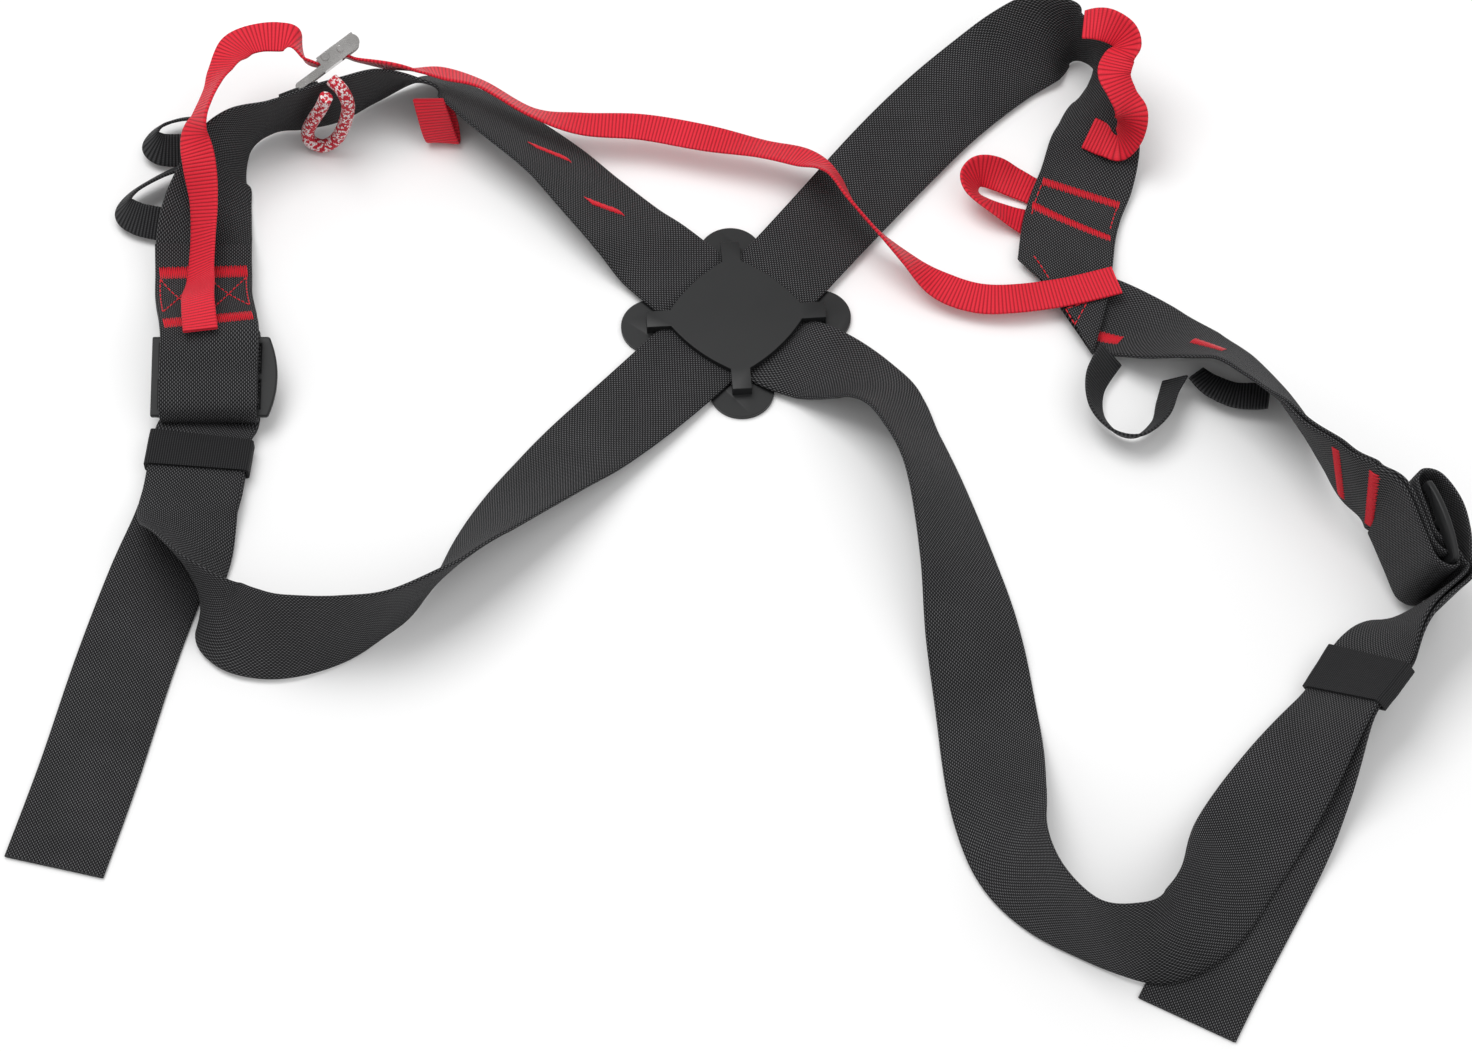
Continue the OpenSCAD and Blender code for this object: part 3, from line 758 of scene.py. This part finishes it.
def steel_material():
    graph = Graph("steel", Metallic=1.0)
    stretched = graph.node("ShaderNodeMapping", [("Vector", graph.place()), ("Scale", (400, 400, 6000))])
    streaks = [("Vector", stretched.outputs[0]), ("Scale", 1.0)]
    brush = graph.node("ShaderNodeTexNoise", streaks).outputs["Fac"]
    # Painted reflection: the random lighter and darker patches in the steel's colour stand in for uneven
    # reflections.
    cloud = graph.noise(70.0)
    colour = graph.blend(cloud, (0.24, 0.232, 0.225, 1), (0.6, 0.59, 0.58, 1))
    return graph.finish(colour, graph.spread(brush, 0.14, 0.34), graph.bump(brush, 0.00004, 0.3))


def floor_material():
    graph = Graph("floor", Specular_IOR_Level=0.1)
    cloud = graph.noise(3.0)
    colour = graph.blend(cloud, (0.93, 0.93, 0.93, 1), (0.95, 0.95, 0.95, 1))
    return graph.finish(colour, graph.spread(cloud, 0.85, 0.95), graph.bump(cloud, 0.0001, 0.05))


WEBBING = webbing_material()
GEAR = black_tape_material("black_tape", 1.5, 0.06)
ELASTIC = black_tape_material("black_elastic", 1.1, 0.035)
RED = red_tape_material()
THREAD = thread_material()
CORD = cord_material()
PLASTIC = plastic_material()
STEEL = steel_material()


def add_camera():
    elevation = math.radians(58)
    heading = Vector((0, math.cos(elevation), -math.sin(elevation)))
    data = bpy.data.cameras.new("camera")
    data.lens = 96.85
    data.sensor_width = 36
    camera = bpy.data.objects.new("camera", data)
    camera.location = Vector((0, -0.112, 0)) - heading * 1.8
    camera.rotation_euler = heading.to_track_quat("-Z", "Y").to_euler()
    bpy.context.scene.collection.objects.link(camera)
    bpy.context.scene.camera = camera


def add_light(name, place, size, power):
    data = bpy.data.lights.new(name, "AREA")
    data.size = size
    data.energy = power
    light = bpy.data.objects.new(name, data)
    light.location = place
    light.rotation_euler = (Vector((0, -0.05, 0)) - light.location).to_track_quat("-Z", "Y").to_euler()
    bpy.context.scene.collection.objects.link(light)


def add_studio():
    world = bpy.data.worlds.new("studio")
    world.use_nodes = True
    world.node_tree.nodes["Background"].inputs["Color"].default_value = (1, 1, 1, 1)
    world.node_tree.nodes["Background"].inputs["Strength"].default_value = 0.6
    bpy.context.scene.world = world
    bpy.context.scene.view_settings.view_transform = "Standard"
    add_light("key", (-0.5, 0.4, 1.8), 1.2, 19)
    add_light("fill", (0.9, -0.5, 1.5), 1.4, 6)
    half = 4000
    corners = [(-half, -half, 0), (half, -half, 0), (half, half, 0), (-half, half, 0)]
    add_object("floor", corners, [(0, 1, 2, 3)], floor_material())


# Pieces.


def stands_for(piece, node, body="harness"):
    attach(piece, body)
    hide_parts(node)


def add_webbing(node, route, q0, q1, skew0=0.0, skew1=0.0):
    piece = strip(node + "_webbing", route, q0, q1, STRAP_W, STRAP_T, WEBBING, skew0, skew1)
    stands_for(piece, node)


def add_tape(node, route, q0, q1, material):
    piece = strip(node + "_tape", route, q0, q1, TAPE_W, TAPE_T, material)
    stands_for(piece, node)


def add_cord():
    """The pull cord's loop. Both its ends stop a few millimetres short of the webbing."""
    route = Route([[*place, 0, 0] for place in PULL_CORD])
    grid = np.linspace(0, route.last, route.last * 12 + 1)
    path = np.array([route.along(q)[:3] for q in grid])
    sides = 20
    rings = []
    flat = unit(np.cross(path[1] - path[0], [0.3, -0.5, 0.81]))
    for i, p in enumerate(path):
        heading = unit(path[min(len(path) - 1, i + 1)] - path[max(0, i - 1)])
        flat = unit(flat - flat.dot(heading) * heading)
        other = np.cross(heading, flat)
        turns = [2 * math.pi * k / sides for k in range(sides)]
        rings.append([p + (flat * math.cos(a) + other * math.sin(a)) * CORD_D / 2 for a in turns])
    girth = math.pi * CORD_D
    uvs = []
    for i in range(len(path) - 1):
        v0, v1 = route.length(grid[i]), route.length(grid[i + 1])
        for k in range(sides):
            u0, u1 = girth * k / sides, girth * (k + 1) / sides
            uvs += [(u0, v0), (u1, v0), (u1, v1), (u0, v1)]
    uvs += [(0, 0)] * (2 * sides)
    piece = add_object("pull_cord_braid", np.concatenate(rings), loft(rings), CORD, uvs)
    stands_for(piece, "pull_cord")
    route.length(route.last) * MM


def softened(node, width, material, body="harness", segments=3):
    """Stands for a hard CAD node: its own shape with rounded edges."""
    work = bmesh.new()
    work.from_mesh(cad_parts[node].data)
    bmesh.ops.remove_doubles(work, verts=work.verts, dist=1e-6)
    bmesh.ops.dissolve_limit(work, angle_limit=math.radians(1), verts=work.verts, edges=work.edges)
    mesh = bpy.data.meshes.new(node + "_rounded")
    work.to_mesh(mesh)
    work.free()
    mesh.materials.clear()
    mesh.materials.append(material)
    piece = bpy.data.objects.new(node + "_rounded", mesh)
    bpy.context.scene.collection.objects.link(piece)
    bevel = piece.modifiers.new("round", "BEVEL")
    bevel.width = width * MM
    bevel.segments = segments
    bevel.limit_method = "ANGLE"
    bevel.angle_limit = math.radians(35)
    mesh.shade_smooth()
    mesh.set_sharp_from_angle(angle=math.radians(60))
    stands_for(piece, node, body)


add_camera()
add_cord()
add_studio()

ROUTE_A = Route(STRAP_A)
ROUTE_B = Route(STRAP_B)
ROUTE_C = Route(STRAP_C)
ROUTE_CHEST = Route(CHEST)

add_webbing("left_patch_loop", ROUTE_A, 0, 14)
add_webbing("left_shoulder_strap", ROUTE_A, 14, 37)
add_webbing("right_underarm_strap", ROUTE_A, 37, 57)
add_webbing("right_threaded_loop", ROUTE_A, 57, 80)
add_webbing("right_tail", ROUTE_A, 80, ROUTE_A.last)
add_webbing("right_shoulder_strap", ROUTE_B, 0.1, 19, 2, 0)
add_webbing("left_underarm_strap", ROUTE_B, 19, 35)
add_webbing("left_threaded_loop", ROUTE_B, 35, 53)
add_webbing("left_tail", ROUTE_B, 53, 57)
add_webbing("right_chest_section", ROUTE_C, 1.9, 11, -1.8, 0)
add_webbing("right_patch_loop", ROUTE_C, 11, 27)
add_tape("chest_strap_tail", ROUTE_CHEST, 0, 19, RED)
add_tape("chest_strap", ROUTE_CHEST, 19, ROUTE_CHEST.last, RED)
for node, stations in BLACK_LOOPS.items():
    add_tape(node, Route(stations), 0, len(stations) - 1, GEAR)
for node, stations in RED_LOOPS.items():
    add_tape(node, Route(stations), 0, len(stations) - 1, RED)

anchor_height = STRAP_T / 2 + 0.3 + TAPE_T / 2
anchor = strip("buckle_anchor_tape", ROUTE_A, 23.3, 24.5, TAPE_W, TAPE_T, GEAR,
               v_mid=-13, h_mid=anchor_height)
stands_for(anchor, "buckle_anchor")


def add_keeper(node, route, q0, q1, body):
    """A flat elastic tube round two layers of webbing."""
    gap = 0.5
    wall = 1.2
    half = STRAP_W / 2 + gap + wall
    low = -STRAP_T / 2 - LAYER - gap - wall
    high = STRAP_T / 2 + gap + wall
    corner = 1.6
    outer = []
    for v, h, start in ((half, high, 0), (-half, high, 90), (-half, low, 180), (half, low, 270)):
        for a in (start, start + 30, start + 60, start + 90):
            turn = math.radians(a)
            outer.append((v - math.copysign(corner, v) + corner * math.cos(turn),
                          h - (corner if h > 0 else -corner) + corner * math.sin(turn)))
    centre = (low + high) / 2
    inner = [(v * (half - wall) / half, centre + (h - centre) * (high - centre - wall) / (high - centre))
             for v, h in outer]
    count = 16
    grid = np.linspace(q0, q1, count + 1)
    rings = [[route.spot(q, v, h) for v, h in outer] for q in grid]
    rings += [[route.spot(q, v, h) for v, h in inner] for q in reversed(grid)]
    travel = [route.length(q) for q in grid] + [route.length(q) for q in reversed(grid)]
    size = len(outer)
    girth = [0.0]
    for k in range(size):
        girth.append(girth[-1] + math.dist(outer[k], outer[(k + 1) % size]))
    uvs = []
    for i in range(len(rings)):
        n = (i + 1) % len(rings)
        for k in range(size):
            uvs += [(travel[i], girth[k]), (travel[i], girth[k + 1]),
                    (travel[n], girth[k + 1]), (travel[n], girth[k])]
    piece = add_object(node + "_elastic", np.concatenate(rings), loft(rings, closed=True), ELASTIC, uvs)
    stands_for(piece, node, body)


add_keeper("left_keeper", ROUTE_B, 36.75, 37.9, "left_keeper")
add_keeper("right_keeper", ROUTE_A, 58.35, 59.65, "right_keeper")

softened("back_plate", 0.8, PLASTIC)
softened("left_tri_glide", 0.9, PLASTIC)
softened("right_tri_glide", 0.9, PLASTIC)
softened("buckle_frame", 0.25, STEEL, segments=2)
softened("buckle_pin", 0.2, STEEL, segments=2)
softened("buckle_stop_pin", 0.2, STEEL, segments=2)
softened("cam_lever", 0.3, STEEL, "cam_lever", segments=2)

left_patch = Stitching()
for q in (1.1, 2.8):
    left_patch.bar(ROUTE_A, 1, (q, -20.5), (q, 20.5), 7.5)
for v in (-20, 3):
    left_patch.run(ROUTE_A, 1, (1.35, v), (2.5, v + 17))
    left_patch.run(ROUTE_A, 1, (1.35, v + 17), (2.5, v))
for v in (-20, 20):
    left_patch.run(ROUTE_A, 1, (1.35, v), (2.5, v))
stands_for(left_patch.piece("left_patch_threads", THREAD), "left_patch_stitching")

left_shoulder = Stitching()
for q, v in ((29.85, 1.5), (31.35, -0.8)):
    left_shoulder.bar(ROUTE_A, 1, (q - 0.25, v - 5), (q + 0.25, v + 5), 6)
stands_for(left_shoulder.piece("left_shoulder_threads", THREAD), "left_shoulder_stitching")

right_shoulder = Stitching()
right_shoulder.bar(ROUTE_B, 1, (4.48, -19.5), (4.48, 19.5), 4.2)
right_shoulder.bar(ROUTE_B, 1, (3.0, -20), (3.7, 20), 4.2)
for v in (-19, 19):
    right_shoulder.run(ROUTE_B, 1, (3.4, v), (4.4, v))
right_shoulder.run(ROUTE_B, 1, (2.2, 15), (1.55, 6))
for a, b in (((0.85, -4.5), (0.6, -10.5)), ((0.6, -10.5), (1.1, -13.5)), ((1.1, -13.5), (0.85, -4.5))):
    right_shoulder.run(ROUTE_B, 1, a, b)
stands_for(right_shoulder.piece("right_shoulder_threads", THREAD), "right_shoulder_stitching")

right_chest = Stitching()
right_chest.upright_bar(ROUTE_C, 1, -12, -8, 8, 2.0, 6)
right_chest.upright_bar(ROUTE_C, 1, 1, -8, 8, 4.2, 7)
stands_for(right_chest.piece("right_chest_threads", THREAD), "right_chest_stitching")

right_patch = Stitching()
for q in (23.8, 25.1):
    right_patch.bar(ROUTE_C, 1, (q, -18), (q, 18), 5)
stands_for(right_patch.piece("right_patch_threads", THREAD), "right_patch_stitching")
